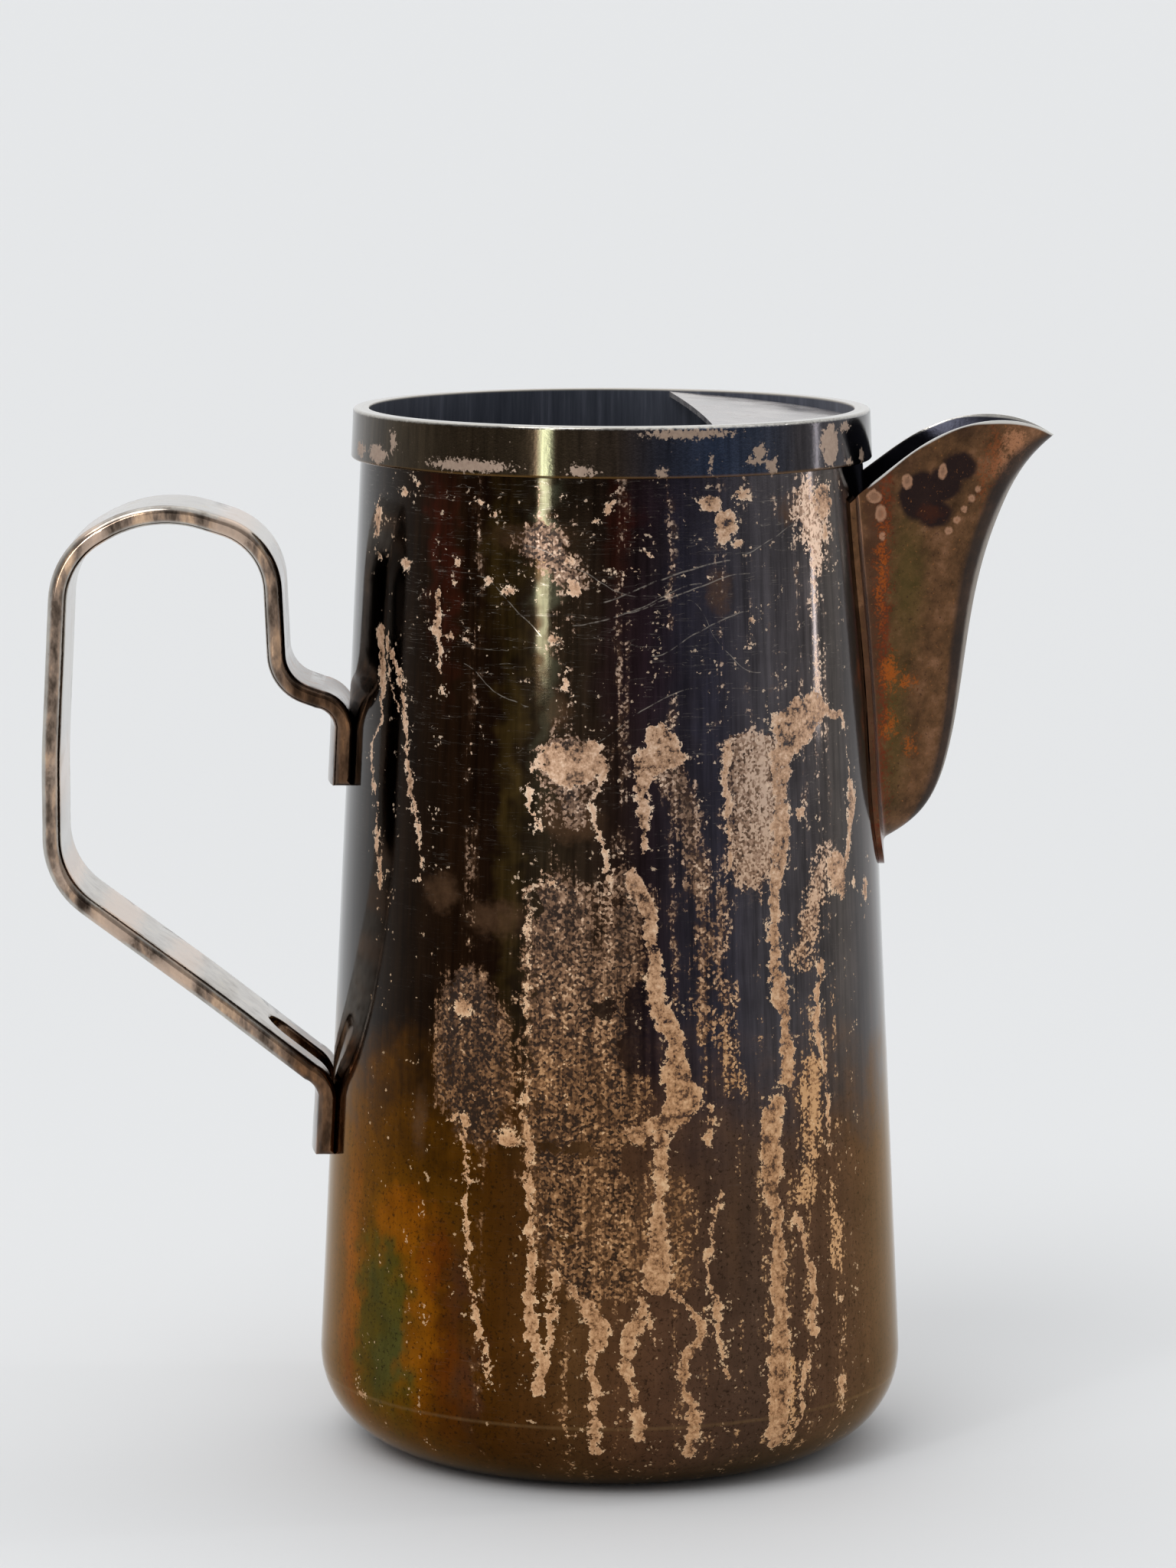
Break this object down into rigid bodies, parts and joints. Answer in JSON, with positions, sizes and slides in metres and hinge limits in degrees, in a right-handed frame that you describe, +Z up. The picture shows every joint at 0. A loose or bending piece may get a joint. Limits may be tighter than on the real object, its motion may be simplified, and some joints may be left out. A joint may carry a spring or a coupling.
{
  "type": "water pitcher",
  "caption": "Tapered metal water pitcher with a rim band, a fixed ice guard, a pouring spout and a strap handle.",
  "frame": {"origin": "middle of the flat base, where the pitcher's axis meets the table", "axes": "+Z up along the pitcher's axis, +X towards the spout, handle along -X, +Y to the left of the spout"},
  "size_m": [0.1927, 0.1124, 0.2],
  "materials": {
    "body_wall": "tarnished silver plate, glossy, with bare patches",
    "base_pan": "tarnished silver plate, glossy",
    "rim_band": "tarnished silver plate, glossy",
    "ice_guard": "tarnished silver plate, spotted",
    "spout": "bronze-brown tarnished silver plate, glossy",
    "handle": "tarnished silver plate, worn at the edges"
  },
  "bodies": {
    "root": {"body_wall": "body_wall", "base_pan": "base_pan", "rim_band": "rim_band", "ice_guard": "ice_guard", "spout": "spout", "handle": "handle"}
  },
  "joints": []
}
